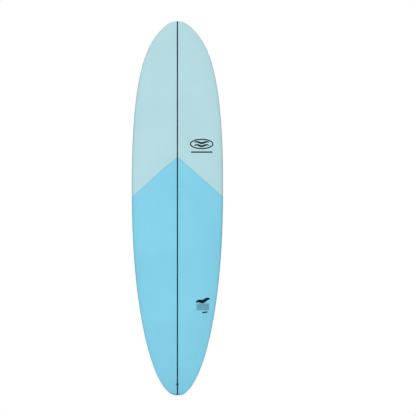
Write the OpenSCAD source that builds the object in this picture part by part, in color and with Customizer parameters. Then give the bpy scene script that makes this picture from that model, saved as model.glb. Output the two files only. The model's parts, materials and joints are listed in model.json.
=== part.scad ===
// Mid-length surfboard with a soft deck, a hard resin-tinted bottom and five fin boxes.
// It stands nose up: X across, deck towards -Y, bottom towards +Y, origin at the tail tip.

/* [Outline] */
// Length from tail tip to nose tip
board_length = 2438; // [2134:1:2743]
// Width at the widest point
board_width = 596; // [540:1:620]
// Height of the widest point above the tail tip, as a share of the length
wide_point = 0.565; // [0.5:0.001:0.6]

/* [Foil] */
// Greatest thickness
board_thickness = 82; // [76:1:95]
// Thickness close behind the two tips
tip_thickness = 22; // [20:1:30]
// Rise of the rail line at the nose, towards the deck
nose_lift = 92; // [60:1:120]
// Rise of the rail line at the tail, towards the deck
tail_lift = 34; // [20:1:40]

/* [Layers] */
// Thickness of the soft deck skin
skin_t = 3.5; // [3:0.1:4]
// Thickness of the laminate under the deck skin
deck_laminate_t = 1; // [0.8:0.1:1.2]
// Thickness of the tinted bottom laminate
bottom_laminate_t = 1.2; // [1:0.1:1.6]
// Thickness of the wooden stringer
stringer_t = 6; // [5:0.5:8]
// Width of the dark inlay strip over the stringer
inlay_w = 7.5; // [6:0.5:10]
// Distance from the nose to the tip of the deck's colour chevron
chevron_from_nose = 887; // [800:1:950]
// How far the chevron drops from the centreline to the rails
chevron_drop = 257; // [150:1:300]
// How far the deck skin wraps round the rail onto the bottom at the widest point
rail_wrap = 13; // [8:0.5:18]
// Width of the seam strip between the deck skin and the bottom laminate
seam_w = 2.4; // [1.5:0.1:4]

/* [Centre fin box] */
// Middle of the centre fin box above the tail tip
centre_box_z = 253; // [245:1:300]
// Length of its slot
centre_slot_l = 266; // [240:1:268]
// Width of its slot
centre_slot_w = 9; // [8.5:0.1:9.5]

/* [Side fin boxes] */
// Middle of the front pair above the tail tip
front_box_z = 400; // [390:1:420]
// Distance of the front pair from the centreline
front_box_x = 160; // [140:1:165]
// Middle of the rear pair above the tail tip
rear_box_z = 264; // [255:1:270]
// Distance of the rear pair from the centreline
rear_box_x = 118; // [100:1:120]
// Length of a side slot
side_slot_l = 109; // [100:1:112]
// Width of a side slot
side_slot_w = 8; // [7:0.1:8.5]
// Toe-in of the side slots, in degrees
toe_in = 2; // [0:0.5:4]

/* [Leash plug] */
// Middle of the leash plug above the tail tip
leash_z = 70; // [65:1:90]
// Radius of the cup's opening
leash_cup_r = 8; // [7.5:0.5:9]
// Radius of the leash pin
leash_pin_r = 2; // [1.5:0.1:2.5]

/* [Hidden] */
$fn = 48;

DECK = -1;
BOTTOM = 1;
LEFT = -1;
RIGHT = 1;

// Clearances: between glued layers, beside a strip, at the chevron joint (each side), round a
// part in its pocket, round a turning screw, and past both ends of the leash pin
layer_gap = 0.5;
strip_gap = 0.3;
chevron_gap = 0.4;
pocket_gap = 0.3;
thread_gap = 0.05;
pin_end_gap = 0.1;

// How far a cut reaches past the surface that it opens, inside a part and out of the board
over_cut = 1;
cut_h = 8;

// Depth of each surface under the outside of the board
laminate_top = skin_t + layer_gap;
laminate_base = laminate_top + deck_laminate_t;
core_top = laminate_base + layer_gap;
core_base = bottom_laminate_t + layer_gap;

// Both halves of the core stand off the stringer by its glue line
stringer_glue = 0.1;
core_start = stringer_t / 2 + stringer_glue;

// The skin's edge on the bottom, and how far inboard of it the bottom laminate and the core end
wrap_at = 1 - rail_wrap / (board_width / 2);
laminate_edge = seam_w + 2 * layer_gap;
core_edge = seam_w + 3 * layer_gap;

// Outline: one quartic curve from the widest point to each tip, with handles as shares of
// the half width and of the distance to the tip
half_width = board_width / 2;
wide_z = wide_point * board_length;
tip_w = 10;
nose_handles = [[1, 0], [1, 0.965], [0.406, 0.856], [0.342, 1], [tip_w / half_width, 1]];
tail_handles = [[1, 0], [1, 0.188], [1, 0.643], [0.516, 1], [tip_w / half_width, 1]];
outline_steps = 80;

// Foil: height of the thickest point, share of the thickness on the deck side of the rail,
// and the powers that shape the thickness, the rocker and the cross-section
thick_z = 0.525 * board_length;
flat_z = 0.45 * board_length;
deck_share = 0.58;
foil_power = 2.4;
rocker_power = 2.4;
tip_round = 14;
deck_curve = [2.6, 2];
bottom_curve = [6, 2.5];

// Mesh of the curved layers
columns = 8;
wrap_steps = 4;
wrap_power = 2.5;
rings = 25;
skin_rings = 18;
straight_rings = 5;
ring_bunching = 1.5;

// Centre fin box
box_sink = 1.8;
slot_end_wall = 3;
centre_box_l = centre_slot_l + 2 * slot_end_wall;
centre_box_w = 25;
centre_box_d = 21;
centre_slot_d = 18;
lip_d = 5;
groove_w = 14.6;
groove_h = 4.6;
drop_in_l = 16;
drop_in_w = 12.6;
centre_block_l = centre_box_l + 24;
centre_block_w = 46;
centre_block_d = 15;
drop_in_step = 1;
plate = [14, 12, 4];
plate_play = 0.3;
plate_end_gap = 0.1;
plate_y = centre_slot_l / 2 - plate[1] / 2 - plate_end_gap;
plate_z = -lip_d - plate_play - plate[2];
fin_screw_r = 2.08;
fin_screw_l = 14;
screw_head_r = 3.9;
screw_head_h = 2.2;
screw_head_lift = 0.4;
recess = [4.8, 1, 1.2];

// Side fin boxes
side_sink = 1;
side_block_sink = 1.8;
side_box_wall = 8;
side_box_l = side_slot_l + 2 * side_box_wall;
side_box_w = 17;
side_box_d = 18;
side_slot_d = 14;
side_block_l = side_box_l + 16;
side_block_w = 34;
side_block_d = 12;
grub_r = 2.5;
grub_l = 8;
grub_d = 1.5;
hex_r = 1.45;
hex_d = 3;
grub_overlap = 2.2;
grub_y = -side_slot_l / 2 - grub_overlap;

// Leash plug
leash_flange_r = 14;
leash_flange_h = 2;
leash_top = -skin_t - layer_gap;
leash_cup_wall = 3;
leash_cup_d = 18;
leash_pin_depth = 8;
leash_block_r = 22;
leash_block_sink = 3;
leash_block_top = core_top + leash_block_sink;
leash_block_d = 7;

// A quartic Bezier curve through five points, at t from 0 to 1
function bezier(p, t) =
    let (u = 1 - t)
    pow(u, 4) * p[0] + 4 * pow(u, 3) * t * p[1] + 6 * u * u * t * t * p[2]
    + 4 * u * pow(t, 3) * p[3] + pow(t, 4) * p[4];

// The outline as [height, half width] pairs from tail to nose
function outline_point(handles, reach, t) =
    let (p = bezier(handles, t))
    [wide_z + reach * p[1], half_width * p[0]];
outline = concat(
    [for (i = [outline_steps:-1:1]) outline_point(tail_handles, -wide_z, i / outline_steps)],
    [for (i = [0:outline_steps]) outline_point(nose_handles, board_length - wide_z, i / outline_steps)]
);

function half_width_at(z) = lookup(z, outline);

// Share of the way from a reference height to the tip on the same side of it
function reach(z, from) = z < from ? (from - z) / from : (z - from) / (board_length - from);
function lift(z) = z < flat_z ? tail_lift : nose_lift;
function rail_y(z) = tail_lift - lift(z) * pow(reach(z, flat_z), rocker_power);
function thickness_at(z) =
    tip_thickness + (board_thickness - tip_thickness) * (1 - pow(reach(z, thick_z), foil_power));

// Rounds the thickness off over the last few millimetres before a tip
function tip_rounding(z) =
    let (e = min(z, board_length - z) + 1)
    e < tip_round ? sqrt(1 - pow(1 - e / tip_round, 2)) : 1;

// Height of the cross-section over the rail plane, at a share s of the half width
function crown(side, s) =
    let (c = side == DECK ? deck_curve : bottom_curve)
    pow(max(0, 1 - pow(min(1, abs(s)), c[0])), 1 / c[1]);

// A point of the surface that lies depth under the outside, at station z and offset x
function inner_z(z, depth) = depth + (board_length - 2 * depth) * z / board_length;
function inner_half_width(z, depth) = half_width_at(z) * (1 - depth / half_width);
function shell_point(side, x, z, depth = 0) =
    let (share = side == DECK ? deck_share : 1 - deck_share)
    let (height = (share * thickness_at(z) - depth) * tip_rounding(z))
    let (rise = height * crown(side, x / inner_half_width(z, depth)))
    [x, rail_y(inner_z(z, depth)) + side * rise, inner_z(z, depth)];

// Stations from tail to nose, closer together at the tips
function station(u) =
    board_length / 2 * (u < 0.5 ? pow(2 * u, ring_bunching) : 2 - pow(2 - 2 * u, ring_bunching));
stations = [for (i = [0:2 * rings]) station(i / (2 * rings))];

// Shares of the way across half a layer, closer together towards its edge
function outward(steps) = [for (j = [0:steps]) 1 - pow(1 - j / steps, 2)];
deck_steps = outward(columns);
bottom_steps = outward(columns + wrap_steps);
strip_steps = [0, 0.5, 1];

// Shares of the way back from the rail to the skin's edge on the bottom
under_rail = [for (j = [1:wrap_steps]) 1 - pow(j / wrap_steps, wrap_power)];

// One row of a layer: x runs from span[0] + span[1] * w to span[2] + span[3] * w, and the
// station drops by the given amount towards the rail
function layer_row(side, z, shares, span, depth, hand = RIGHT, drop = 0) =
    [for (f = shares)
        let (zf = z - drop * f)
        let (w = inner_half_width(zf, depth))
        let (x = (span[0] + span[1] * w) * (1 - f) + (span[2] + span[3] * w) * f)
        shell_point(side, hand * x, zf, depth)];

// A row that runs out over the deck from x = start and wraps round the rail
function wrapped_row(z, start, depth, hand, drop = 0) =
    concat(
        layer_row(DECK, z, deck_steps, [start, 0, 0, 1], depth, hand, drop),
        layer_row(BOTTOM, z - drop, under_rail, [0, wrap_at, 0, 1], depth, hand)
    );

// The left row reversed and the right row, which share the point at the centreline
function joined(left, right) = concat([for (i = [len(left) - 1:-1:1]) left[i]], right);

// A closed solid between two grids of points of the same size
module between(a, b) {
    n = len(a);
    m = len(a[0]);
    count = n * m;
    out = cross(a[0][1] - a[0][0], a[1][0] - a[0][0]) * (a[0][0] - b[0][0]) > 0;
    quads = concat(
        [for (i = [0:n - 2], j = [0:m - 2]) [i * m + j, i * m + j + 1, (i + 1) * m + j + 1, (i + 1) * m + j]],
        [for (i = [0:n - 2], j = [0:m - 2])
            [for (k = [(i + 1) * m + j, (i + 1) * m + j + 1, i * m + j + 1, i * m + j]) count + k]],
        [for (j = [0:m - 2]) [j + 1, j, count + j, count + j + 1]],
        [for (j = [0:m - 2]) let (k = (n - 1) * m + j) [k, k + 1, count + k + 1, count + k]],
        [for (i = [0:n - 2]) [i * m, (i + 1) * m, count + (i + 1) * m, count + i * m]],
        [for (i = [0:n - 2]) let (k = i * m + m - 1) [k + m, k, count + k, count + k + m]]
    );
    triangles = [for (q = quads) each [[q[0], q[1], q[2]], [q[0], q[2], q[3]]]];
    polyhedron(
        points = [for (row = concat(a, b)) each row],
        faces = [for (t = triangles) out ? [t[2], t[1], t[0]] : t]
    );
}

// A full-length strip on one side of the board, between two depths
module strip(side, top, base, span, hand = RIGHT) {
    between(
        [for (z = stations) layer_row(side, z, strip_steps, span, top, hand)],
        [for (z = stations) layer_row(side, z, strip_steps, span, base, hand)]
    );
}

// Places children on a surface: local Z points out of the board, and local Y runs towards the
// tail on the bottom and towards the nose on the deck
module on_surface(side, x, z, depth, turn = 0) {
    step = 5;
    p = shell_point(side, x, z, depth);
    along = shell_point(side, x, z + step, depth) - shell_point(side, x, z - step, depth);
    over = shell_point(side, x + step, z, depth) - shell_point(side, x - step, z, depth);
    tilt = atan2(along[1], along[2]);
    cant = atan2(-side * over[1], over[0]);
    translate(p)
        rotate([-side * 90 - tilt, 0, 0])
            rotate([0, cant, 0])
                rotate([0, 0, turn])
                    children();
}

// A block with round ends, its top at z = 0, length along Y
module bar(length, width, depth) {
    translate([0, 0, -depth])
        linear_extrude(depth) {
            square([width, length - width], center = true);
            for (end = [-1, 1])
                translate([0, end * (length - width) / 2])
                    circle(d = width);
        }
}

module at_centre_box() {
    on_surface(BOTTOM, 0, centre_box_z, core_base)
        translate([0, 0, -box_sink])
            children();
}

module at_side_box(hand, front) {
    on_surface(BOTTOM, hand * (front ? front_box_x : rear_box_x), front ? front_box_z : rear_box_z,
        core_base, -hand * toe_in)
        translate([0, 0, -side_sink])
            children();
}

module at_leash() {
    on_surface(DECK, 0, leash_z, 0)
        children();
}

// The space that a bar of this size needs round it, open out through the laminates
module pocket(length, width, depth) {
    translate([0, 0, cut_h])
        bar(length + 2 * pocket_gap, width + 2 * pocket_gap, depth + pocket_gap + cut_h);
}

// Spaces in the core for the fin boxes, the leash plug and the dense blocks round them
module block_pockets() {
    at_centre_box() {
        pocket(centre_block_l, centre_block_w, centre_block_d);
        pocket(centre_box_l, centre_box_w, centre_box_d);
    }
    for (hand = [LEFT, RIGHT], front = [true, false])
        at_side_box(hand, front) {
            pocket(side_block_l, side_block_w, side_block_d);
            pocket(side_box_l, side_box_w, side_box_d);
        }
    leash_pocket();
    at_leash()
        translate([0, 0, -leash_block_top - leash_block_d - pocket_gap])
            cylinder(r = leash_block_r + pocket_gap, h = leash_block_d + cut_h);
}

// The hole in the deck skin over the mouth of the leash cup
module leash_mouth() {
    at_leash()
        translate([0, 0, -cut_h])
            cylinder(r = leash_cup_r + pocket_gap, h = 2 * cut_h);
}

// The flange sits in a recess under the deck skin, and the cup goes down from it
module leash_pocket() {
    at_leash() {
        translate([0, 0, leash_top - leash_flange_h - pocket_gap])
            cylinder(r = leash_flange_r + pocket_gap, h = cut_h);
        translate([0, 0, -leash_cup_d - pocket_gap])
            cylinder(r = leash_cup_r + leash_cup_wall + pocket_gap, h = leash_cup_d + cut_h);
    }
}

// The mouths of the slots, as they are cut through the bottom laminate
module slot_mouths() {
    at_centre_box()
        centre_slot(cut_h);
    for (hand = [LEFT, RIGHT], front = [true, false])
        at_side_box(hand, front)
            side_slot(cut_h);
}

module stringer() {
    half = [for (z = stations) shell_point(DECK, 0, z, core_top)];
    other = [for (z = stations) shell_point(BOTTOM, 0, z, core_base)];
    count = len(stations);
    profile = [for (p = concat(half, [for (i = [count - 1:-1:0]) other[i]])) [p[1], p[2]]];
    color("BurlyWood")
        difference() {
            rotate([90, 0, 90])
                translate([0, 0, -stringer_t / 2])
                    linear_extrude(stringer_t)
                        polygon(profile);
            block_pockets();
        }
}

// Half of the core: full depth under the bottom laminate, and stepped in under the deck skin
module foam_core(hand) {
    span = [core_start, 0, -core_edge, wrap_at];
    color("WhiteSmoke")
        difference() {
            between(
                [for (z = stations) wrapped_row(z, core_start, core_top, hand)],
                [for (z = stations) layer_row(BOTTOM, z, bottom_steps, span, core_base, hand)]
            );
            block_pockets();
        }
}

module deck_laminate() {
    color("Ivory")
        difference() {
            between(
                [for (z = stations)
                    joined(wrapped_row(z, 0, laminate_top, LEFT), wrapped_row(z, 0, laminate_top, RIGHT))],
                [for (z = stations)
                    joined(wrapped_row(z, 0, laminate_base, LEFT), wrapped_row(z, 0, laminate_base, RIGHT))]
            );
            leash_pocket();
        }
}

module bottom_laminate() {
    span = [0, 0, -laminate_edge, wrap_at];
    color("LightSkyBlue")
        difference() {
            between(
                [for (z = stations)
                    joined(
                        layer_row(BOTTOM, z, bottom_steps, span, 0, LEFT),
                        layer_row(BOTTOM, z, bottom_steps, span, 0, RIGHT)
                    )],
                [for (z = stations)
                    joined(
                        layer_row(BOTTOM, z, bottom_steps, span, bottom_laminate_t, LEFT),
                        layer_row(BOTTOM, z, bottom_steps, span, bottom_laminate_t, RIGHT)
                    )]
            );
            slot_mouths();
        }
}

// Rows of a deck skin: they fan from the chevron to straight ones near the tip, which are at
// the same stations as those of the layers under it
function skin_rows(from, to, fanned, straight, start, depth, hand) =
    concat(
        [for (u = fanned)
            wrapped_row(from + (to - from) * u, start, depth, hand, chevron_drop * (1 - u))],
        [for (z = straight) wrapped_row(z, start, depth, hand)]
    );

// One quarter of the deck skin
module deck_skin(hand, front) {
    chevron_z = board_length - chevron_from_nose + (front ? chevron_gap : -chevron_gap);
    start = inlay_w / 2 + strip_gap;
    last = front ? 2 * rings - straight_rings : straight_rings;
    fanned = [for (i = [0:skin_rings]) 1 - pow(1 - i / skin_rings, ring_bunching)];
    straight = [for (i = [1:straight_rings]) stations[front ? last + i : last - i]];
    color(front ? [0.7, 0.85, 0.88] : [0.52, 0.81, 0.9])
        difference() {
            between(
                skin_rows(chevron_z, stations[last], fanned, straight, start, 0, hand),
                skin_rows(chevron_z, stations[last], fanned, straight, start, skin_t, hand)
            );
            if (!front)
                leash_mouth();
        }
}

module stringer_inlay() {
    color([0.12, 0.3, 0.36])
        difference() {
            strip(DECK, 0, skin_t, [-inlay_w / 2, 0, inlay_w / 2, 0]);
            leash_mouth();
        }
}

module rail_seam(hand) {
    color([0.32, 0.5, 0.56])
        strip(BOTTOM, 0, bottom_laminate_t, [-seam_w - layer_gap, wrap_at, -layer_gap, wrap_at], hand);
}

// Slot, fin-pin groove and drop-in opening of the centre box, open over the top by rise
module centre_slot(rise) {
    translate([0, 0, rise])
        bar(centre_slot_l, centre_slot_w, centre_slot_d + rise);
    translate([-drop_in_w / 2, -drop_in_l / 2, -lip_d - drop_in_step])
        cube([drop_in_w, drop_in_l, lip_d + drop_in_step + rise]);
}

module centre_fin_box() {
    color([0.2, 0.33, 0.38])
        at_centre_box()
            difference() {
                bar(centre_box_l, centre_box_w, centre_box_d);
                centre_slot(over_cut);
                translate([-groove_w / 2, -centre_slot_l / 2, -lip_d - groove_h])
                    cube([groove_w, centre_slot_l, groove_h]);
            }
}

module centre_fin_block() {
    color("Wheat")
        at_centre_box()
            difference() {
                bar(centre_block_l, centre_block_w, centre_block_d);
                pocket(centre_box_l, centre_box_w, centre_block_d + over_cut);
            }
}

// The plate rests at the tail end of the groove, with the screw through it
module fin_plate() {
    color("Silver")
        at_centre_box()
            difference() {
                translate([-plate[0] / 2, plate_y - plate[1] / 2, plate_z])
                    cube(plate);
                translate([0, plate_y, plate_z - over_cut])
                    cylinder(r = fin_screw_r + thread_gap, h = plate[2] + 2 * over_cut);
            }
}

module fin_screw() {
    head_z = plate_z + plate[2] + screw_head_lift;
    color("Gainsboro")
        at_centre_box()
            translate([0, plate_y, head_z])
                difference() {
                    union() {
                        cylinder(r = screw_head_r, h = screw_head_h);
                        translate([0, 0, screw_head_h - fin_screw_l])
                            cylinder(r = fin_screw_r, h = fin_screw_l);
                    }
                    for (turn = [0, 90])
                        rotate([0, 0, turn])
                            translate([-recess[0] / 2, -recess[1] / 2, screw_head_h - recess[2]])
                                cube([recess[0], recess[1], recess[2] + over_cut]);
                }
}

// Slot of a side box with the grub screw's bore at its nose end, open over the top by rise
module side_slot(rise) {
    translate([0, 0, rise])
        bar(side_slot_l, side_slot_w, side_slot_d + rise);
    translate([0, grub_y, -grub_d - grub_l - over_cut])
        cylinder(r = grub_r + thread_gap, h = grub_d + grub_l + over_cut + rise);
}

module side_fin_box(hand, front) {
    color([0.6, 0.66, 0.7])
        at_side_box(hand, front)
            difference() {
                bar(side_box_l, side_box_w, side_box_d);
                side_slot(over_cut);
            }
}

module side_fin_block(hand, front) {
    color("Wheat")
        at_side_box(hand, front)
            difference() {
                translate([0, 0, -side_block_sink])
                    bar(side_block_l, side_block_w, side_block_d - side_block_sink);
                pocket(side_box_l, side_box_w, side_block_d + over_cut);
            }
}

module grub_screw(hand, front) {
    color("DimGray")
        at_side_box(hand, front)
            translate([0, grub_y, -grub_d - grub_l])
                difference() {
                    cylinder(r = grub_r, h = grub_l);
                    translate([0, 0, grub_l - hex_d])
                        cylinder(r = hex_r, h = hex_d + over_cut, $fn = 6);
                }
}

module leash_block() {
    color("Wheat")
        at_leash()
            translate([0, 0, -leash_block_top - leash_block_d])
                difference() {
                    cylinder(r = leash_block_r, h = leash_block_d);
                    translate([0, 0, -over_cut])
                        cylinder(
                            r = leash_cup_r + leash_cup_wall + pocket_gap,
                            h = leash_block_d + 2 * over_cut
                        );
                }
}

module leash_cup() {
    color([0.1, 0.24, 0.3])
        at_leash()
            difference() {
                union() {
                    translate([0, 0, leash_top - leash_flange_h])
                        cylinder(r = leash_flange_r, h = leash_flange_h);
                    translate([0, 0, -leash_cup_d])
                        cylinder(r = leash_cup_r + leash_cup_wall, h = leash_cup_d + leash_top);
                }
                translate([0, 0, -leash_cup_d + leash_cup_wall])
                    cylinder(r = leash_cup_r, h = leash_cup_d + over_cut);
                leash_pin_shape(leash_pin_r + thread_gap, pin_end_gap);
            }
}

module leash_pin_shape(r, spare) {
    length = 2 * leash_cup_r + leash_cup_wall;
    translate([-length / 2 - spare, 0, -leash_pin_depth])
        rotate([0, 90, 0])
            cylinder(r = r, h = length + 2 * spare);
}

module leash_pin() {
    color([0.1, 0.24, 0.3])
        at_leash()
            leash_pin_shape(leash_pin_r, 0);
}

stringer();
foam_core(LEFT);  // foam_core_left
foam_core(RIGHT);  // foam_core_right
deck_laminate();
bottom_laminate();
deck_skin(LEFT, true);  // deck_skin_front_left
deck_skin(RIGHT, true);  // deck_skin_front_right
deck_skin(LEFT, false);  // deck_skin_rear_left
deck_skin(RIGHT, false);  // deck_skin_rear_right
stringer_inlay();
rail_seam(LEFT);  // rail_seam_left
rail_seam(RIGHT);  // rail_seam_right
centre_fin_block();
centre_fin_box();
fin_plate();
fin_screw();
side_fin_block(LEFT, true);  // front_left_fin_block
side_fin_block(RIGHT, true);  // front_right_fin_block
side_fin_block(LEFT, false);  // rear_left_fin_block
side_fin_block(RIGHT, false);  // rear_right_fin_block
side_fin_box(LEFT, true);  // front_left_fin_box
side_fin_box(RIGHT, true);  // front_right_fin_box
side_fin_box(LEFT, false);  // rear_left_fin_box
side_fin_box(RIGHT, false);  // rear_right_fin_box
grub_screw(LEFT, true);  // front_left_grub_screw
grub_screw(RIGHT, true);  // front_right_grub_screw
grub_screw(LEFT, false);  // rear_left_grub_screw
grub_screw(RIGHT, false);  // rear_right_grub_screw
leash_block();
leash_cup();
leash_pin();
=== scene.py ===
import json
import math

import bmesh
import bpy
import numpy as np
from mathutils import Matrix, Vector


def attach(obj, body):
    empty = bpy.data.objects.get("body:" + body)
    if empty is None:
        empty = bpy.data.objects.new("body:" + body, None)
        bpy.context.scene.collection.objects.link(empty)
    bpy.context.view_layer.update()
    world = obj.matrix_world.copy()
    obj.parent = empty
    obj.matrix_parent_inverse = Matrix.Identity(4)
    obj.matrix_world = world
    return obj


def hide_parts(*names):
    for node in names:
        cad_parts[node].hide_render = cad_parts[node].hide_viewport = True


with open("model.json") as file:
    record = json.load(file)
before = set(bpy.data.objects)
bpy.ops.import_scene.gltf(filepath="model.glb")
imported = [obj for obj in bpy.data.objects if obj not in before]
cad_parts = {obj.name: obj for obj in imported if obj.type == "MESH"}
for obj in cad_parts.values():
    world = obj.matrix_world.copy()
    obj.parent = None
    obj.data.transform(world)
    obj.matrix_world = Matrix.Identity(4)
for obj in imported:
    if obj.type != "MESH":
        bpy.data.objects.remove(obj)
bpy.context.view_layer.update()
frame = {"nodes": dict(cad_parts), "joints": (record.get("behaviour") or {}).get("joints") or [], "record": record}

# The board's shape in metres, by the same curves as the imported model: X across, -Y out of the
# deck, +Y out of the bottom, Z from tail to nose
MM = 0.001
LENGTH = 2438 * MM
HALF_WIDTH = 298 * MM
WIDE_Z = 0.565 * LENGTH
TIP_SHARE = 10 * MM / HALF_WIDTH
NOSE_HANDLES = [(1, 0), (1, 0.965), (0.406, 0.856), (0.342, 1), (TIP_SHARE, 1)]
TAIL_HANDLES = [(1, 0), (1, 0.188), (1, 0.643), (0.516, 1), (TIP_SHARE, 1)]
THICKNESS = 82 * MM
TIP_THICKNESS = 22 * MM
THICK_Z = 0.525 * LENGTH
FLAT_Z = 0.45 * LENGTH
NOSE_LIFT = 92 * MM
TAIL_LIFT = 34 * MM
FOIL_POWER = 2.4
ROCKER_POWER = 2.4
DECK_SHARE = 0.58
TIP_ROUND = 14 * MM
DECK, BOTTOM = -1, 1
LEFT, RIGHT = -1, 1
CROWN = {DECK: (2.6, 2), BOTTOM: (6, 2.5)}

# Layers and strips
SKIN_T = 3.5 * MM
BOTTOM_T = 1.2 * MM
INLAY_HALF = 3.75 * MM
STRIP_GAP = 0.3 * MM
CHEVRON_GAP = 0.35 * MM
LAYER_GAP = 0.5 * MM
SEAM_W = 2.4 * MM
WRAP_AT = 1 - 13 * MM / HALF_WIDTH
CHEVRON_Z = LENGTH - 887 * MM
CHEVRON_DROP = 257 * MM

# Openings: length and width of the slots, the notch half way along the centre one, the bore of a
# grub screw with its distance from the middle of its slot, and how far a slot's cutter reaches
# under the surface and over it
CENTRE_SLOT = (266 * MM, 9 * MM)
CENTRE_NOTCH = (16 * MM, 12.6 * MM)
SIDE_SLOT = (109 * MM, 8 * MM)
GRUB_BORE_R = 2.6 * MM
GRUB_OFFSET = 56.7 * MM
CUT_DEPTH = 3 * MM
CUT_PROUD = 2 * MM
LEASH_HOLE_R = 8.3 * MM
LEASH_PIN_DEPTH = 8 * MM

# Sizes of the edge roundings
SKIN_EDGE_R = 1.1 * MM
STRIP_EDGE_R = 0.6 * MM
LAMINATE_EDGE_R = 0.4 * MM
RIM_FLARE = 0.45 * MM

# How finely the deck skin is divided along the board, over the deck and round the rail
SKIN_ROWS = 130
SKIN_DECK_STEPS = 30
SKIN_RAIL_STEPS = 12
# And how finely the bottom and the strips are divided along the board
LAYER_ROWS = 240


# ---- Curves of the board ----

def bezier(handles, t):
    """Points of a quartic Bezier curve, as shares of the half width and of the way to the tip."""
    u = 1 - t
    weights = [u**4, 4 * u**3 * t, 6 * u**2 * t**2, 4 * u * t**3, t**4]
    width = sum(w * h[0] for w, h in zip(weights, handles))
    way = sum(w * h[1] for w, h in zip(weights, handles))
    return width, way


def outline_table(steps=3000):
    """Heights from tail to nose, and the half width at each."""
    t = np.linspace(0, 1, steps + 1)
    tail_w, tail_way = bezier(TAIL_HANDLES, t[::-1])
    nose_w, nose_way = bezier(NOSE_HANDLES, t[1:])
    z = np.concatenate([WIDE_Z * (1 - tail_way), WIDE_Z + (LENGTH - WIDE_Z) * nose_way])
    return z, np.concatenate([tail_w, nose_w]) * HALF_WIDTH


OUTLINE_Z, OUTLINE_W = outline_table()
OUTLINE_SLOPE = np.gradient(OUTLINE_W, OUTLINE_Z)


def half_width(z):
    return np.interp(z, OUTLINE_Z, OUTLINE_W)


def edge_stretch(z):
    """How much wider, across the board, a strip of even width along the outline gets."""
    slope = np.interp(z, OUTLINE_Z, OUTLINE_SLOPE)
    return np.minimum(3, np.sqrt(1 + slope**2))


def reach(z, start):
    """The way from start to the tip that z lies towards, as a share."""
    return np.where(z < start, (start - z) / start, (z - start) / (LENGTH - start))


def rail_y(z):
    lift = np.where(z < FLAT_Z, TAIL_LIFT, NOSE_LIFT)
    return TAIL_LIFT - lift * np.abs(reach(z, FLAT_Z)) ** ROCKER_POWER


def thickness(z):
    grown = 1 - np.abs(reach(z, THICK_Z)) ** FOIL_POWER
    return TIP_THICKNESS + (THICKNESS - TIP_THICKNESS) * grown


def tip_rounding(z):
    """Share of its thickness that the board keeps close to a tip, by a quarter circle."""
    way = np.clip(np.minimum(z, LENGTH - z) / TIP_ROUND, 0, 1)
    return np.sqrt(1 - (1 - way) ** 2)


def inner_half_width(z, depth):
    """Half the width of a layer at a depth under the surface."""
    return half_width(z) * (1 - depth / HALF_WIDTH)


def shell_point(side, x, z, depth=0.0):
    """Points at a depth under the board's surface, at station z and offset x."""
    power, root = CROWN[side]
    share = DECK_SHARE if side == DECK else 1 - DECK_SHARE
    x, z, depth = np.broadcast_arrays(np.asarray(x, float), z, depth)
    across = np.abs(x) / np.maximum(inner_half_width(z, depth), 1e-9)
    crown = np.maximum(0, 1 - np.minimum(1, across) ** power) ** (1 / root)
    height = (share * thickness(z) - depth) * tip_rounding(z)
    z_inner = depth + (LENGTH - 2 * depth) * z / LENGTH
    return np.stack([x, rail_y(z_inner) + side * height * crown, z_inner], axis=-1)


# ---- Mesh helpers ----

def new_piece(name, points, faces, body="board"):
    """A mesh object from points and faces, with its normals turned out, that rides on a body."""
    mesh = bpy.data.meshes.new(name)
    mesh.from_pydata([tuple(p) for p in points], [], faces)
    b = bmesh.new()
    b.from_mesh(mesh)
    bmesh.ops.remove_doubles(b, verts=b.verts, dist=1e-6)
    bmesh.ops.dissolve_degenerate(b, edges=b.edges, dist=1e-7)
    bmesh.ops.recalc_face_normals(b, faces=b.faces)
    b.to_mesh(mesh)
    b.free()
    piece = bpy.data.objects.new(name, mesh)
    bpy.context.scene.collection.objects.link(piece)
    smooth(piece)
    if body:
        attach(piece, body)
    return piece


def smooth(piece, angle=35):
    mesh = piece.data
    mesh.shade_smooth()
    mesh.set_sharp_from_angle(angle=math.radians(angle))


def grid_faces(rows, cols, first, flip=False):
    faces = []
    for i in range(rows - 1):
        for j in range(cols - 1):
            a = first + i * cols + j
            quad = [a, a + 1, a + cols + 1, a + cols]
            faces.append(quad[::-1] if flip else quad)
    return faces


def shell_piece(name, outer, inner):
    """A closed sheet between two grids of points of the same size."""
    rows, cols = outer.shape[:2]
    count = rows * cols
    faces = grid_faces(rows, cols, 0) + grid_faces(rows, cols, count, flip=True)
    rim = list(range(cols))
    rim += [i * cols + cols - 1 for i in range(1, rows)]
    rim += [(rows - 1) * cols + j for j in range(cols - 2, -1, -1)]
    rim += [i * cols for i in range(rows - 2, 0, -1)]
    for k, a in enumerate(rim):
        b = rim[(k + 1) % len(rim)]
        faces.append([b, a, count + a, count + b])
    points = np.concatenate([outer.reshape(-1, 3), inner.reshape(-1, 3)])
    return new_piece(name, points, faces)


def rounding(radius, steps=4):
    """Offset from an edge and depth under the surface, round a quarter circle from the edge."""
    angles = [math.pi / 2 * k / steps for k in range(steps + 1)]
    return [(radius * (1 - math.cos(a)), radius * (1 - math.sin(a))) for a in angles]


def cut(piece, *cutters):
    """Takes the cutters out of a piece, for good."""
    for cutter in cutters:
        modifier = piece.modifiers.new("cut", "BOOLEAN")
        modifier.operation = "DIFFERENCE"
        modifier.solver = "EXACT"
        modifier.object = cutter
    bpy.context.view_layer.update()
    graph = bpy.context.evaluated_depsgraph_get()
    mesh = bpy.data.meshes.new_from_object(piece.evaluated_get(graph))
    piece.modifiers.clear()
    piece.data = mesh
    smooth(piece)


def remove(*pieces):
    for piece in pieces:
        bpy.data.objects.remove(piece)


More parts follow.
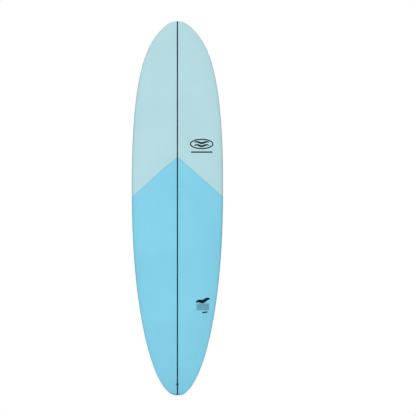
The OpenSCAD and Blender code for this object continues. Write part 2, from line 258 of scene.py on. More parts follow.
def ring_cutter(name, points, count):
    """A closed solid from stacked rings of count points each; it rides on no body."""
    rows = len(points) // count
    faces = [list(range(count))]
    for s in range(rows - 1):
        for k in range(count):
            a, b = s * count + k, s * count + (k + 1) % count
            faces.append([a, b, b + count, a + count])
    faces.append([(rows - 1) * count + k for k in range(count)])
    return new_piece(name, points, faces, body=None)


# ---- Layers of the board ----

def stations(count):
    """Stations from tail to nose, closer together at the tips."""
    u = np.linspace(0, 1, count)
    return LENGTH * (1 - np.cos(math.pi * u)) / 2


def deck_columns():
    """Columns of a deck skin: side, offset, share of the half width, depth, share of the drop."""
    start = INLAY_HALF + STRIP_GAP
    edge = rounding(SKIN_EDGE_R)
    columns = [(DECK, start + offset, 0.0, depth, 0.0) for offset, depth in edge[:-1]]
    for k in range(SKIN_DECK_STEPS + 1):
        share = math.sin(math.pi / 2 * k / SKIN_DECK_STEPS) ** (2 / CROWN[DECK][0])
        columns.append((DECK, (start + SKIN_EDGE_R) * (1 - share), share, 0.0, share))
    power, root = CROWN[BOTTOM]
    crown_end = (1 - WRAP_AT**power) ** (1 / root)
    for k in range(1, SKIN_RAIL_STEPS + 1):
        share = (1 - (crown_end * k / SKIN_RAIL_STEPS) ** root) ** (1 / power)
        part = (1 - share) / (1 - WRAP_AT)
        columns.append((BOTTOM, SKIN_EDGE_R * part, share, 0.0, 1.0))
    columns += [(BOTTOM, offset, WRAP_AT, depth, 1.0) for offset, depth in edge[-2::-1]]
    return columns


def deck_skin(name, hand, front):
    """One quarter of the deck skin, wrapped round the rail, with rounded edges."""
    tip_z = LENGTH if front else 0.0
    toward = 1 if front else -1
    begin = CHEVRON_Z + toward * CHEVRON_GAP
    edge = rounding(SKIN_EDGE_R)
    rows = [(begin + toward * offset, depth) for offset, depth in edge[:-1]]
    flat_z = begin + toward * SKIN_EDGE_R
    for k in range(SKIN_ROWS + 1):
        share = math.sin(math.pi / 2 * k / SKIN_ROWS)
        rows.append((flat_z + (tip_z - flat_z) * share, 0.0))
    columns = deck_columns()
    centre_z, row_depth = np.array(rows).T
    left_over = np.abs(tip_z - centre_z) / abs(tip_z - begin)
    grids = []
    for inner in (False, True):
        grid = np.zeros((len(rows), len(columns), 3))
        for j, (side, offset, share, depth, drop_share) in enumerate(columns):
            z = centre_z - CHEVRON_DROP * left_over * drop_share
            depths = SKIN_T if inner else np.maximum(row_depth, depth)
            width = inner_half_width(z, depths)
            start, room = 0.0, 1.0
            if side == BOTTOM:
                # The rounding shrinks with the wrapped strip towards the tips
                room = np.clip(width * (1 - WRAP_AT) / (2.5 * SKIN_EDGE_R), 0, 1)
            elif share == 0:
                start = INLAY_HALF + STRIP_GAP
                room = np.clip((half_width(z) - start) / (4 * SKIN_EDGE_R), 0.1, 1)
            x = start + (offset - start) * room + share * width
            grid[:, j] = shell_point(side, hand * x, z, depths)
        grids.append(grid)
    piece = shell_piece(name, *grids)
    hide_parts(name)
    return piece


def full_length(name, side, span, thickness_m, edge_r, columns):
    """A full-length layer or strip on one side of the board; span gives both edges at z."""
    z = stations(LAYER_ROWS)[:, None]
    edge = rounding(edge_r, 3)
    # Columns between the rounded edges, closer together towards them
    inner = [-1 + 2 * (k / columns) for k in range(columns + 1)]
    inner = [math.copysign(1 - (1 - abs(f)) ** 1.6, f) for f in inner]
    profile = [(-1, offset, depth) for offset, depth in edge[:-1]]
    profile += [(f, None, 0.0) for f in inner]
    profile += [(1, offset, depth) for offset, depth in edge[-2::-1]]
    grids = []
    for flat_depth in (None, thickness_m):
        grid = []
        for f, offset, depth in profile:
            d = depth if flat_depth is None else flat_depth
            low, high = span(z, d)
            radius = np.minimum(edge_r, (high - low) / 5)
            if offset is None:
                x = (low + high) / 2 + f * ((high - low) / 2 - radius)
            else:
                x = (low if f < 0 else high) - f * radius * offset / edge_r
            grid.append(shell_point(side, x, z, d)[:, 0])
        grids.append(np.stack(grid, axis=1))
    return shell_piece(name, *grids)


def bottom_laminate():
    def span(z, depth):
        edge = (SEAM_W + 2 * LAYER_GAP) * edge_stretch(z)
        high = np.maximum(0.3 * MM, WRAP_AT * inner_half_width(z, depth) - edge)
        return -high, high

    piece = full_length("bottom_laminate", BOTTOM, span, BOTTOM_T, LAMINATE_EDGE_R, 80)
    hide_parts("bottom_laminate")
    return piece


def rail_seam(name, hand):
    def span(z, depth):
        outer = WRAP_AT * inner_half_width(z, depth) - LAYER_GAP
        inner = outer - SEAM_W * edge_stretch(z)
        inner = np.maximum(inner, 0.1 * MM)
        outer = np.maximum(outer, 0.5 * MM)
        return (inner, outer) if hand == RIGHT else (-outer, -inner)

    piece = full_length(name, BOTTOM, span, BOTTOM_T, STRIP_EDGE_R, 4)
    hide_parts(name)
    return piece


def stringer_inlay():
    def span(z, depth):
        half = np.minimum(INLAY_HALF, inner_half_width(z, depth) * 0.95)
        return -half, half

    piece = full_length("stringer_inlay", DECK, span, SKIN_T, STRIP_EDGE_R, 4)
    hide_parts("stringer_inlay")
    return piece


# ---- Cutters for the slots and the leash plug ----

def mount_named(name):
    return next(m for m in frame["record"]["mounts"] if m["name"] == name)


def joint_named(name):
    return next(j for j in frame["joints"] if j["name"] == name)


def mount_frame(name, along):
    """A slot's place: its middle, and its directions across, along and out of the board."""
    mount = mount_named(name)
    out = Vector(mount["axis"]).normalized()
    along = Vector(along)
    along = (along - along.dot(out) * out).normalized()
    return Vector(mount["pos_m"]), along.cross(out), along, out


def bar_outline(length, width, steps=16):
    """The outline of a bar with round ends, as offsets across and along."""
    points = []
    for end in (1, -1):
        for k in range(steps + 1):
            turn = math.pi * k / steps - (0 if end == 1 else math.pi)
            middle = end * (length - width) / 2
            points.append((math.cos(turn) * width / 2, middle + math.sin(turn) * width / 2))
    return points


def grown(points, by):
    """The outline moved out by a distance, away from its spine."""
    moved = []
    for k, (x, y) in enumerate(points):
        before, after = points[k - 1], points[(k + 1) % len(points)]
        run = Vector((after[0] - before[0], after[1] - before[1])).normalized()
        moved.append((x + run.y * by, y - run.x * by))
    return moved


def slot_cutter(place, outline):
    """A cutter that stands on a slot's outline and flares where it meets the surface."""
    middle, across, along, out = place
    stages = [(CUT_DEPTH, 0.0), (RIM_FLARE, 0.0), (0.4 * RIM_FLARE, 0.3 * RIM_FLARE)]
    stages += [(0.0, RIM_FLARE), (-CUT_PROUD, RIM_FLARE)]
    points = []
    for depth, growth in stages:
        for x, y in grown(outline, growth) if growth else outline:
            point = middle + x * across + y * along
            for _ in range(4):
                target = shell_point(BOTTOM, point.x, point.z)[1] - depth
                point = point + out * ((float(target) - point.y) / out.y)
            points.append(point)
    return ring_cutter("cutter", points, len(outline))


def centre_slot_outline(length, width, step_length, step_width):
    """A bar with the wider drop-in opening half way along."""
    bar = bar_outline(length, width)
    half = len(bar) // 2
    right = [(step_width / 2, -step_length / 2), (step_width / 2, step_length / 2)]
    right = [(width / 2, -step_length / 2), *right, (width / 2, step_length / 2)]
    left = [(-x, -y) for x, y in right]
    return right + bar[:half] + left + bar[half:]


def slot_cutters():
    slide = joint_named("fin_plate_slide")
    place = mount_frame("centre_fin_channel", slide["axis"])
    cutters = [slot_cutter(place, centre_slot_outline(*CENTRE_SLOT, *CENTRE_NOTCH))]
    for row in ("front", "rear"):
        for hand in ("left", "right"):
            screw = Vector(joint_named(f"{row}_{hand}_grub_turn")["pos_m"])
            name = f"{row}_{hand}_fin_slot"
            place = mount_frame(name, screw - Vector(mount_named(name)["pos_m"]))
            cutters.append(slot_cutter(place, bar_outline(*SIDE_SLOT)))
            bore = [
                (GRUB_BORE_R * math.cos(a), GRUB_OFFSET + GRUB_BORE_R * math.sin(a))
                for a in np.linspace(0, 2 * math.pi, 25)[:-1]
            ]
            cutters.append(slot_cutter(place, bore))
    return cutters


def leash_cutter():
    """Turned about the cup's axis: the hole through the deck skin, flared at its rim."""
    pin = Vector(mount_named("leash_pin_grip")["pos_m"])
    run = shell_point(DECK, 0, pin.z + 5 * MM) - shell_point(DECK, 0, pin.z - 5 * MM)
    nose = Vector(run).normalized()
    out = nose.cross(Vector((1, 0, 0))).normalized()
    out = out if out.y < 0 else -out
    top = pin + LEASH_PIN_DEPTH * out
    profile = [(RIM_FLARE, -4 * MM), (RIM_FLARE, 0.0), (0.3 * RIM_FLARE, 0.4 * RIM_FLARE)]
    profile += [(0.0, 1.2 * RIM_FLARE), (0.0, 8 * MM)]
    sides = 96
    points = []
    for growth, depth in profile:
        for k in range(sides):
            turn = 2 * math.pi * k / sides
            radius = LEASH_HOLE_R + growth
            across = Vector((radius * math.cos(turn), 0, 0)) + radius * math.sin(turn) * nose
            points.append(top + across - depth * out)
    return ring_cutter("leash_cutter", points, sides)


# ---- Generic printed marks ----

# How far the ink stands out of the surface and reaches into it, and where the marks are
PRINT_PROUD = 0.12 * MM
PRINT_ROOT = 0.25 * MM
DECK_EMBLEM = (158 * MM, 1635 * MM)
BOTTOM_EMBLEM = (-166 * MM, 1635 * MM)
TAIL_LABEL = (166 * MM, 582 * MM)
BOTTOM_LABEL = (0, 565 * MM)


def ribbon(path, widths, closed=False):
    """A strip three points wide along a path in the plan of the board, and if it is closed."""
    path = np.asarray(path, float)
    if closed:
        run = np.roll(path, -1, axis=0) - np.roll(path, 1, axis=0)
    else:
        run = np.gradient(path, axis=0)
    run /= np.linalg.norm(run, axis=1)[:, None]
    side = np.stack([run[:, 1], -run[:, 0]], axis=1)
    widths = np.asarray(widths, float)[:, None]
    strip = np.stack([path - side * widths / 2, path, path + side * widths / 2], axis=1)
    return strip, closed


def print_mesh(name, side, strips):
    """Thin closed ink solids on the board's surface, all in one piece."""
    points, faces = [], []
    for strip, closed in strips:
        rows, cols = strip.shape[:2]
        first = len(points)
        for depth in (-PRINT_PROUD, PRINT_ROOT):
            layer = shell_point(side, strip[..., 0], strip[..., 1])
            layer[..., 1] -= side * depth
            points.extend(layer.reshape(-1, 3))
        count = rows * cols
        last = rows if closed else rows - 1
        for i in range(last):
            a, b = i * cols, ((i + 1) % rows) * cols
            for j in range(cols - 1):
                faces.append([first + k for k in (a + j, a + j + 1, b + j + 1, b + j)])
                faces.append([first + count + k for k in (b + j, b + j + 1, a + j + 1, a + j)])
            for j in (0, cols - 1):
                faces.append([first + k for k in (a + j, b + j, count + b + j, count + a + j)])
        if not closed:
            for i in (0, rows - 1):
                for j in range(cols - 1):
                    a = first + i * cols + j
                    faces.append([a, a + 1, count + a + 1, count + a])
    return new_piece(name, points, faces)


def straight(x0, z0, x1, z1, width, steps=6):
    t = np.linspace(0, 1, steps)[:, None]
    path = np.array([x0, z0]) * (1 - t) + np.array([x1, z1]) * t
    return ribbon(path, np.full(steps, width))


def wave(x, z, length, height, width, waves, lean=0.0, steps=60):
    """A wavy stroke that thins out at both ends."""
    t = np.linspace(0, 1, steps)
    path_x = x + (t - 0.5) * length
    path_z = z + height / 2 * np.sin(2 * math.pi * waves * t) + lean * (t - 0.5)
    widths = width * (0.15 + 0.85 * np.sin(math.pi * t) ** 0.5)
    return ribbon(np.stack([path_x, path_z], axis=1), widths)


def ring(x, z, length, height, width, steps=96):
    """An oval ring."""
    t = np.linspace(0, 2 * math.pi, steps + 1)[:-1]
    path = np.stack([x + length / 2 * np.cos(t), z + height / 2 * np.sin(t)], axis=1)
    return ribbon(path, np.full(steps, width), closed=True)


def emblem(name, side, x, z):
    """A plain oval with two wave strokes in it and a bar under it."""
    oval_z = z + 3 * MM
    bar_half, bar_z = 70 * MM, z - 50 * MM
    strips = [ring(x, oval_z, 146 * MM, 60 * MM, 8 * MM)]
    for k in (-1, 1):
        strips.append(wave(x, oval_z + k * 10 * MM, 98 * MM, 9 * MM, 13 * MM, 1.5))
    strips.append(straight(x - bar_half, bar_z, x + bar_half, bar_z, 9 * MM, 30))
    return print_mesh(name, side, strips)


def tail_stroke(x, z):
    """A thick slanted stroke with a short dash far under it."""
    strips = [
        wave(x, z + 34 * MM, 90 * MM, 9 * MM, 23 * MM, 1.5, lean=22 * MM),
        straight(x - 4 * MM, z - 44 * MM, x + 30 * MM, z - 39 * MM, 9 * MM),
    ]
    return print_mesh("tail_stroke", DECK, strips)


def tail_hatch(x, z):
    """A block of thin level lines, between the stroke and the dash."""
    strips = []
    for k in range(-4, 3):
        level = z + k * 6.5 * MM
        strips.append(straight(x - 42 * MM, level, x + 40 * MM, level, 3.2 * MM, 12))
    return print_mesh("tail_hatch", DECK, strips)


def bottom_dashes(x, z):
    """A column of short dashes, the top one the largest."""
    strips = [straight(x - 10 * MM, z + 46 * MM, x + 10 * MM, z + 46 * MM, 12 * MM)]
    for k, width in enumerate((12, 7, 9, 13, 8)):
        level = z + (26 - 17 * k) * MM
        half = width / 2 * MM
        strips.append(straight(x - half, level, x + half, level, 5 * MM))
    return print_mesh("bottom_dashes", BOTTOM, strips)


# ---- Materials ----

def srgb(r, g, b):
    """A colour given in 0-255 display values, as the linear values of a shader."""
    def linear(v):
        v /= 255
        return v / 12.92 if v <= 0.04045 else ((v + 0.055) / 1.055) ** 2.4

    return linear(r), linear(g), linear(b), 1.0


class Recipe:
    """A node material, built with short calls."""

    def __init__(
        self, name, roughness=0.5, metallic=0.0, coat=0.0, coat_roughness=0.05, sheen=0.0,
        specular=0.5,
    ):
        self.material = bpy.data.materials.new(name)
        self.material.use_nodes = True
        self.tree = self.material.node_tree
        self.shader = self.tree.nodes["Principled BSDF"]
        self.shader.inputs["Roughness"].default_value = roughness
        self.shader.inputs["Metallic"].default_value = metallic
        self.shader.inputs["Coat Weight"].default_value = coat
        self.shader.inputs["Coat Roughness"].default_value = coat_roughness
        self.shader.inputs["Sheen Weight"].default_value = sheen
        self.shader.inputs["Specular IOR Level"].default_value = specular
        self.place = self.node("ShaderNodeTexCoord").outputs["Object"]

    def node(self, kind, **settings):
        made = self.tree.nodes.new(kind)
        for key, value in settings.items():
            setattr(made, key, value)
        return made

    def feed(self, socket, value):
        if isinstance(value, bpy.types.NodeSocket):
            self.tree.links.new(value, socket)
        else:
            socket.default_value = value

    def scaled(self, x, y, z):
        """The place in the board, stretched by these factors."""
        made = self.node("ShaderNodeMapping")
        self.feed(made.inputs["Vector"], self.place)
        made.inputs["Scale"].default_value = (x, y, z)
        return made.outputs["Vector"]

    def noise(self, scale, vector=None, detail=3.0, roughness=0.5, distortion=0.0):
        made = self.node("ShaderNodeTexNoise")
        self.feed(made.inputs["Vector"], vector or self.place)
        made.inputs["Scale"].default_value = scale
        made.inputs["Detail"].default_value = detail
        made.inputs["Roughness"].default_value = roughness
        made.inputs["Distortion"].default_value = distortion
        return made.outputs["Fac"]

    def cells(self, scale):
        made = self.node("ShaderNodeTexVoronoi", feature="F1")
        self.feed(made.inputs["Vector"], self.place)
        made.inputs["Scale"].default_value = scale
        return made.outputs["Distance"]

    def math(self, operation, a, b=0.0):
        made = self.node("ShaderNodeMath", operation=operation)
        self.feed(made.inputs[0], a)
        self.feed(made.inputs[1], b)
        return made.outputs[0]

    def between(self, value, low, high, to_low=0.0, to_high=1.0):
        """The value's place between low and high, moved smoothly to the new range."""
        made = self.node("ShaderNodeMapRange", interpolation_type="SMOOTHSTEP")
        self.feed(made.inputs["Value"], value)
        made.inputs["From Min"].default_value = low
        made.inputs["From Max"].default_value = high
        made.inputs["To Min"].default_value = to_low
        made.inputs["To Max"].default_value = to_high
        return made.outputs["Result"]

    def mix(self, share, a, b):
        made = self.node("ShaderNodeMix", data_type="RGBA")
        self.feed(made.inputs["Factor"], share)
        self.feed(made.inputs["A"], a)
        self.feed(made.inputs["B"], b)
        return made.outputs["Result"]

    def ramp(self, value, stops):
        made = self.node("ShaderNodeValToRGB")
        elements = made.color_ramp.elements
        elements.remove(elements[1])
        for k, (position, colour) in enumerate(stops):
            element = elements[0] if k == 0 else elements.new(position)
            element.position = position
            element.color = colour
        self.feed(made.inputs["Fac"], value)
        return made.outputs["Color"]

    def colour(self, value):
        self.feed(self.shader.inputs["Base Color"], value)

    def rough(self, value, low, high):
        """Roughness that follows a pattern between two values."""
        self.feed(self.shader.inputs["Roughness"], self.between(value, 0.3, 0.7, low, high))

    def bump(self, height, distance, strength=1.0, below=None):
        made = self.node("ShaderNodeBump")
        self.feed(made.inputs["Height"], height)
        made.inputs["Distance"].default_value = distance
        made.inputs["Strength"].default_value = strength
        if below is not None:
            self.feed(made.inputs["Normal"], below)
        self.feed(self.shader.inputs["Normal"], made.outputs["Normal"])
        return made.outputs["Normal"]


def foam_skin(name, tone, shade, rim):
    """Soft deck skin: fine pebble grain, faint mottling, and painted shade, a darker tone where it turns down
    round the rail.
    """
    m = Recipe(name, roughness=0.62, sheen=0.08, specular=0.3)
    broad = m.noise(2.6, detail=4)
    fine = m.noise(90, detail=4)
    grain = m.cells(900)
    base = m.mix(m.between(broad, 0.3, 0.7), tone, shade)
    base = m.mix(m.between(fine, 0.5, 0.75, 0, 0.06), base, (1, 1, 1, 1))
    base = m.mix(m.between(grain, 0.35, 0.75, 0, 0.35), base, shade)
    # Painted shade: the colour goes towards the rim tone where the skin's normal turns away from the face of the
    # board, so the rails look shaded.
    facing = m.node("ShaderNodeSeparateXYZ")
    m.feed(facing.inputs["Vector"], m.node("ShaderNodeTexCoord").outputs["Normal"])
    outward = m.math("ABSOLUTE", facing.outputs["Y"])
    m.colour(m.mix(m.between(outward, 0.93, 0.5, 0, 0.7), base, rim))
    m.rough(fine, 0.55, 0.72)
    under = m.bump(m.noise(28, detail=2), 0.4 * MM, 0.35)
    m.bump(grain, 0.25 * MM, 0.55, under)
    return m.material


def moulded(m, low, high):
    """The surface of moulded plastic: a fine texture and rubbed streaks along the board."""
    streaks = m.noise(60, m.scaled(8, 8, 0.7), detail=5)
    m.rough(streaks, low, high)
    under = m.bump(m.noise(1400, detail=2), 0.04 * MM, 0.7)
    m.bump(streaks, 0.05 * MM, 0.35, under)


def plain_plastic(name, tone, shade, low, high):
    """Moulded plastic with faint flow marks."""
    m = Recipe(name)
    m.colour(m.mix(m.between(m.noise(22, detail=4), 0.3, 0.7), tone, shade))
    moulded(m, low, high)
    return m.material


def steel(name):
    m = Recipe(name, metallic=1.0)
    brushed = m.noise(500, m.scaled(1, 1, 0.08), detail=4)
    broad = m.noise(120, detail=3)
    m.colour(m.mix(m.between(broad, 0.3, 0.7), (0.62, 0.63, 0.64, 1), (0.45, 0.46, 0.47, 1)))
    m.rough(brushed, 0.24, 0.42)
    m.bump(brushed, 0.03 * MM, 0.6)
    return m.material


def core_foam(name, tone, shade, bead):
    m = Recipe(name, roughness=0.8)
    beads = m.cells(bead)
    m.colour(m.mix(m.between(beads, 0.2, 0.8), tone, shade))
    m.rough(beads, 0.7, 0.9)
    m.bump(beads, 0.5 * MM, 0.6)
    return m.material


def wood(name):
    m = Recipe(name)
    grain = m.noise(60, m.scaled(1, 1, 0.05), detail=6, distortion=0.6)
    fibre = m.noise(400, m.scaled(1, 1, 0.03), detail=3)
    m.colour(m.mix(m.between(grain, 0.35, 0.65), (0.56, 0.37, 0.19, 1), (0.36, 0.21, 0.1, 1)))
    m.rough(fibre, 0.5, 0.7)
    m.bump(fibre, 0.1 * MM, 0.5)
    return m.material


def cloth_laminate(name):
    """Clear resin over woven glass."""
    m = Recipe(name, coat=0.6, coat_roughness=0.15)
    weave_x = m.node("ShaderNodeTexWave", wave_type="BANDS", bands_direction="X")
    weave_x.inputs["Scale"].default_value = 220
    weave_z = m.node("ShaderNodeTexWave", wave_type="BANDS", bands_direction="Z")
    weave_z.inputs["Scale"].default_value = 220
    for weave in (weave_x, weave_z):
        m.feed(weave.inputs["Vector"], m.place)
    height = m.math("MULTIPLY", weave_x.outputs["Fac"], weave_z.outputs["Fac"])
    tone = m.noise(9, detail=4)
    m.colour(m.mix(m.between(tone, 0.3, 0.7), (0.78, 0.82, 0.8, 1), (0.66, 0.72, 0.7, 1)))
    m.rough(tone, 0.28, 0.4)
    m.bump(height, 0.1 * MM, 0.5)
    return m.material


def ink(name, tone, worn):
    """Printed ink, a little worn."""
    m = Recipe(name, specular=0.15)
    broad = m.noise(60, detail=5)
    m.colour(m.mix(m.between(broad, 0.35, 0.7), tone, worn))
    m.rough(broad, 0.45, 0.65)
    m.bump(m.noise(900, detail=2), 0.03 * MM, 0.5)
    return m.material


def centre_strip(name, front_tones, rear_tones):
    """Satin strip, printed in one tone in front of the chevron and in another behind it."""
    m = Recipe(name, specular=0.12)
    parts = m.node("ShaderNodeSeparateXYZ")
    m.feed(parts.inputs["Vector"], m.place)
    front = m.math("GREATER_THAN", parts.outputs["Z"], CHEVRON_Z)
    broad = m.between(m.noise(22, detail=4), 0.3, 0.7)
    m.colour(m.mix(front, m.mix(broad, *rear_tones), m.mix(broad, *front_tones)))
    moulded(m, 0.42, 0.58)
    return m.material


# Tones of the bottom's resin, and the bands that they make across it, from the right rail as
# seen from below (-X) to the left one
WHITE = srgb(247, 253, 254)
PALE = srgb(212, 241, 251)
LIGHT = srgb(186, 232, 249)
MID = srgb(136, 216, 247)
STRONG = srgb(66, 192, 240)
DEEP = srgb(54, 118, 196)
TEAL = srgb(62, 142, 182)
SLATE = srgb(66, 112, 158)
SWIRL_BANDS = [
    (-295, MID), (-276, LIGHT), (-256, STRONG), (-238, STRONG), (-224, LIGHT), (-204, PALE),
    (-180, LIGHT), (-158, WHITE), (-124, PALE), (-100, PALE), (-86, STRONG), (-76, MID),
    (-64, WHITE), (-42, WHITE), (-30, MID), (-12, MID), (14, LIGHT), (38, MID),
    (52, STRONG), (68, STRONG), (80, LIGHT), (100, WHITE), (120, PALE), (146, WHITE),
    (172, LIGHT), (196, WHITE), (222, LIGHT), (244, STRONG), (264, MID), (295, LIGHT),
]
PRINT_REPEAT = 978 * MM
# Dark flecks of the resin: middle across and along, half width and half length, lean, tone
FLECKS = [
    (-13, 440, 5, 26, -0.35, SLATE), (-44, 436, 5, 7, 0.0, SLATE), (-87, 440, 7, 42, 0.0, TEAL),
    (-39, 581, 4, 36, 0.3, TEAL), (-163, 512, 11, 40, 0.15, DEEP), (-177, 560, 7, 26, -0.2, DEEP),
    (-185, 520, 9, 34, 0.1, DEEP), (-190, 462, 11, 52, 0.1, TEAL), (-178, 972, 10, 78, 0.0, TEAL),
    (-28, 915, 11, 150, 0.0, TEAL), (-82, 990, 3.2, 120, 0.0, DEEP),
    (-106, 990, 3.2, 110, 0.0, DEEP), (27, 668, 4, 6, 0.0, SLATE),
    (-176, 679, 4, 6, 0.0, SLATE), (-222, 690, 5, 40, 0.4, STRONG),
    (104, 676, 4, 34, 0.8, TEAL), (88, 805, 3, 26, 0.9, TEAL), (128, 884, 3, 6, 0.0, SLATE),
    (190, 700, 6, 60, 0.1, DEEP), (172, 250, 5, 44, -0.1, TEAL), (240, 960, 7, 70, 0.0, DEEP),
]


def swirl_resin(name):
    """Glossy resin with lengthwise swirls; the pattern repeats along the board."""
    m = Recipe(name, roughness=0.3, coat=0.5, coat_roughness=0.12, specular=0.35)
    parts = m.node("ShaderNodeSeparateXYZ")
    m.feed(parts.inputs["Vector"], m.place)
    x, z = parts.outputs["X"], parts.outputs["Z"]
    turn = m.math("MULTIPLY", z, 2 * math.pi / PRINT_REPEAT)
    ring_r = PRINT_REPEAT / (2 * math.pi)
    ring_y, ring_z = m.math("COSINE", turn), m.math("SINE", turn)

    def looped(kx, kz, detail, roughness=0.55, distortion=0.0):
        """Noise that repeats along the board, by going round a ring."""
        made = m.node("ShaderNodeCombineXYZ")
        m.feed(made.inputs["X"], m.math("MULTIPLY", x, kx))
        m.feed(made.inputs["Y"], m.math("MULTIPLY", ring_y, ring_r * kz))
        m.feed(made.inputs["Z"], m.math("MULTIPLY", ring_z, ring_r * kz))
        return m.noise(1, made.outputs["Vector"], detail, roughness, distortion)

    drift = m.math("MULTIPLY", m.math("SUBTRACT", looped(4, 3.5, 2), 0.5), 60 * MM)
    waver = m.math("MULTIPLY", m.math("SUBTRACT", looped(26, 11, 4, 0.6, 0.4), 0.5), 26 * MM)
    warped = m.math("ADD", m.math("ADD", x, drift), waver)
    span = 2 * HALF_WIDTH
    share = m.math("ADD", m.math("DIVIDE", warped, span), 0.5)
    colour = m.ramp(share, [(across * MM / span + 0.5, tone) for across, tone in SWIRL_BANDS])

    broad = looped(34, 2.6, 5, 0.62, 0.8)
    streak = looped(75, 3.4, 5, 0.62, 0.5)
    thin = looped(230, 7, 4, 0.6, 0.3)
    dabs = looped(70, 17, 5, 0.65, 1.1)
    colour = m.mix(m.between(broad, 0.45, 0.32, 0, 0.8), colour, MID)
    colour = m.mix(m.between(broad, 0.55, 0.66, 0, 0.8), colour, PALE)
    colour = m.mix(m.between(streak, 0.54, 0.63, 0, 0.8), colour, WHITE)
    colour = m.mix(m.between(streak, 0.46, 0.36, 0, 0.8), colour, STRONG)
    colour = m.mix(m.between(thin, 0.55, 0.67, 0, 0.6), colour, WHITE)
    colour = m.mix(m.between(thin, 0.48, 0.36, 0, 0.8), colour, MID)
    colour = m.mix(m.between(dabs, 0.58, 0.65, 0, 0.75), colour, STRONG)
    colour = m.mix(m.between(dabs, 0.37, 0.3, 0, 0.4), colour, WHITE)

    ragged = m.math("MULTIPLY", m.math("SUBTRACT", looped(150, 26, 4, 0.65, 0.6), 0.5), 3.2)
    for across, along, half_w, half_l, lean, tone in FLECKS:
        shifted = m.math("ADD", z, 1.5 * PRINT_REPEAT - along * MM)
        cycle = m.math("FRACT", m.math("DIVIDE", shifted, PRINT_REPEAT))
        away_z = m.math("MULTIPLY", m.math("SUBTRACT", cycle, 0.5), PRINT_REPEAT)
        leant = m.math("MULTIPLY", away_z, lean)
        away_x = m.math("SUBTRACT", m.math("SUBTRACT", warped, across * MM), leant)
        long_part = m.math("POWER", m.math("DIVIDE", away_z, half_l * MM), 2.0)
        wide_part = m.math("POWER", m.math("DIVIDE", away_x, half_w * MM), 2.0)
        spread = m.math("ADD", m.math("ADD", long_part, wide_part), ragged)
        colour = m.mix(m.between(spread, 1.1, 0.35, 0, 0.9), colour, tone)
    m.colour(colour)
    m.rough(m.noise(14, detail=5), 0.16, 0.28)
    m.bump(m.noise(70, detail=2), 0.06 * MM, 0.25)
    return m.material


def paint(piece, material):
    piece.data.materials.clear()
    piece.data.materials.append(material)


# ---- Build the pieces ----

def build_board():
    # The third tone of each deck skin is painted shade, laid on where the skin turns down round the rail.
    pale = foam_skin(
        "deck_foam_pale", srgb(184, 223, 229), srgb(179, 218, 224), srgb(134, 166, 170)
    )
    blue = foam_skin(
        "deck_foam_blue", srgb(133, 213, 237), srgb(128, 208, 232), srgb(96, 156, 176)
    )
    strip = centre_strip(
        "dark_strip", (srgb(0, 34, 37), srgb(0, 40, 43)), (srgb(0, 34, 48), srgb(0, 40, 55))
    )
    seam = plain_plastic("seam_strip", srgb(116, 164, 180), srgb(106, 154, 170), 0.4, 0.55)

    plug_cutter = leash_cutter()
    for hand_name, hand in (("left", LEFT), ("right", RIGHT)):
        front = deck_skin(f"deck_skin_front_{hand_name}", hand, True)
        paint(front, pale)
        rear = deck_skin(f"deck_skin_rear_{hand_name}", hand, False)
        cut(rear, plug_cutter)
        paint(rear, blue)
        edge = rail_seam(f"rail_seam_{hand_name}", hand)
        paint(edge, seam)
    inlay = stringer_inlay()
    cut(inlay, plug_cutter)
    paint(inlay, strip)

    bottom = bottom_laminate()
    cutters = slot_cutters()
    cut(bottom, *cutters)
    paint(bottom, swirl_resin("tinted_resin"))
    remove(plug_cutter, *cutters)


def build_prints():
    black = ink("print_ink", srgb(4, 14, 18), srgb(12, 26, 32))
    grey = ink("print_ink_grey", srgb(30, 78, 96), srgb(42, 90, 108))
    marks = [
        emblem("deck_emblem", DECK, *DECK_EMBLEM),
        emblem("bottom_emblem", BOTTOM, *BOTTOM_EMBLEM),
        tail_stroke(*TAIL_LABEL),
        bottom_dashes(*BOTTOM_LABEL),
    ]
    for mark in marks:
        paint(mark, black)
    paint(tail_hatch(*TAIL_LABEL), grey)


def paint_cad_nodes():
    """Gives the carried-over pieces their materials, by the record's slots."""
    recipes = {
        "eps_foam": core_foam("eps_foam", (0.86, 0.87, 0.87, 1), (0.74, 0.75, 0.76, 1), 300),
        "stringer_wood": wood("stringer_wood"),
        "clear_laminate": cloth_laminate("clear_laminate"),
        "insert_foam": core_foam("insert_foam", (0.62, 0.48, 0.27, 1), (0.5, 0.37, 0.2, 1), 900),
        "dark_box_plastic": plain_plastic(
            "dark_box_plastic", srgb(12, 32, 40), srgb(8, 26, 34), 0.4, 0.6
        ),
        "grey_box_plastic": plain_plastic(
            "grey_box_plastic", srgb(196, 206, 212), srgb(184, 195, 202), 0.4, 0.6
        ),
        "stainless": steel("stainless"),
        "plug_plastic": plain_plastic(
            "plug_plastic", srgb(14, 50, 68), srgb(10, 42, 58), 0.25, 0.4
        ),
    }
    for subpart in frame["record"]["subparts"]:
        node = frame["nodes"][subpart["node"]]
        if not node.hide_render:
            node.data.materials.clear()
            node.data.materials.append(recipes[subpart["material_slot"]])


# ---- Stage ----

# Radius of the floor, and the light that the pale room gives and how bright it looks itself
FLOOR_R = 90
ROOM_LIGHT, ROOM_SEEN = 0.26, 1.0
# Square lamps: azimuth from the front of the deck to its right and elevation in degrees, size,
# power; their distance from the board; and the power and spread of the light from above
LAMPS = {"front_key": (-11, 12, 3.0, 160), "back_key": (146, 22, 4.5, 228)}
LAMP_DISTANCE = 7.5
TOP_POWER = 2.3
TOP_SPREAD = 60
# The picture's width, and how far its middle is to the right of the tail and over it
VIEW_WIDTH = 1.1125 * LENGTH
VIEW_MIDDLE = (0.0817 * LENGTH, 0.5006 * LENGTH)
VIEW_DISTANCE = 6


def place_light(name, light, place, aim):
    lamp = bpy.data.objects.new(name, light)
    bpy.context.scene.collection.objects.link(lamp)
    lamp.location = place
    lamp.rotation_euler = aim.to_track_quat("-Z", "Y").to_euler()
    lamp.visible_camera = False


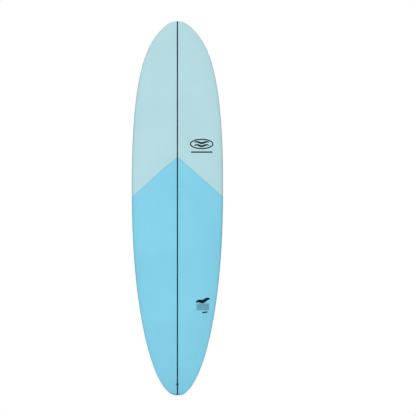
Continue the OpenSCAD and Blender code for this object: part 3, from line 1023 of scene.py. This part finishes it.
def soft_light(name, target, azimuth, elevation, size, power):
    """A square lamp that is aimed at a point."""
    light = bpy.data.lights.new(name, "AREA")
    light.shape = "SQUARE"
    light.size = size
    light.energy = power
    a, e = math.radians(azimuth), math.radians(elevation)
    way = Vector((math.sin(a) * math.cos(e), -math.cos(a) * math.cos(e), math.sin(e)))
    place_light(name, light, target + LAMP_DISTANCE * way, -way)


def build_floor():
    """A round floor whose rings get wider away from the board."""
    rings, sides = 12, 96
    turns = [2 * math.pi * k / sides for k in range(sides)]
    points = [(0, 0, 0)]
    for r in range(1, rings + 1):
        radius = FLOOR_R * (r / rings) ** 2
        points += [(radius * math.cos(a), radius * math.sin(a), 0) for a in turns]
    faces = [[0, 1 + k, 1 + (k + 1) % sides] for k in range(sides)]
    for r in range(rings - 1):
        for k in range(sides):
            a, b = 1 + r * sides + k, 1 + r * sides + (k + 1) % sides
            faces.append([a, a + sides, b + sides, b])
    floor = new_piece("floor", points, faces, body=None)
    m = Recipe("floor_paint", roughness=0.7)
    m.colour(m.mix(m.between(m.noise(0.8), 0.3, 0.7), (0.85, 0.86, 0.87, 1), (0.84, 0.85, 0.86, 1)))
    m.bump(m.noise(60), 0.2 * MM, 0.2)
    floor.data.materials.append(m.material)


def build_room():
    """An even pale room, brighter to the camera than as a light."""
    world = bpy.data.worlds.new("studio")
    bpy.context.scene.world = world
    world.use_nodes = True
    tree = world.node_tree
    seen = tree.nodes.new("ShaderNodeLightPath")
    strength = tree.nodes.new("ShaderNodeMapRange")
    strength.inputs["To Min"].default_value = ROOM_LIGHT
    strength.inputs["To Max"].default_value = ROOM_SEEN
    tree.links.new(seen.outputs["Is Camera Ray"], strength.inputs["Value"])
    background = tree.nodes["Background"]
    background.inputs["Color"].default_value = (1, 1, 1, 1)
    tree.links.new(strength.outputs["Result"], background.inputs["Strength"])


def build_lights():
    middle = Vector((0, 0, LENGTH / 2))
    for name, settings in LAMPS.items():
        soft_light(name, middle, *settings)
    sun = bpy.data.lights.new("top_soft", "SUN")
    sun.energy = TOP_POWER
    sun.angle = math.radians(TOP_SPREAD)
    place_light("top_soft", sun, Vector((0, 0, 6)), Vector((0, 0, -1)))


def build_camera():
    """A camera straight in front of the deck, without perspective."""
    camera = bpy.data.cameras.new("camera")
    camera.type = "ORTHO"
    camera.ortho_scale = VIEW_WIDTH
    camera.clip_end = 200
    view = bpy.data.objects.new("camera", camera)
    bpy.context.scene.collection.objects.link(view)
    view.location = (VIEW_MIDDLE[0], -VIEW_DISTANCE, VIEW_MIDDLE[1])
    view.rotation_euler = (math.pi / 2, 0, 0)
    bpy.context.scene.camera = view


def build_stage():
    settings = bpy.context.scene.view_settings
    settings.view_transform = "Standard"
    settings.look = "None"
    build_floor()
    build_room()
    build_lights()
    build_camera()


build_board()
build_prints()
paint_cad_nodes()
build_stage()
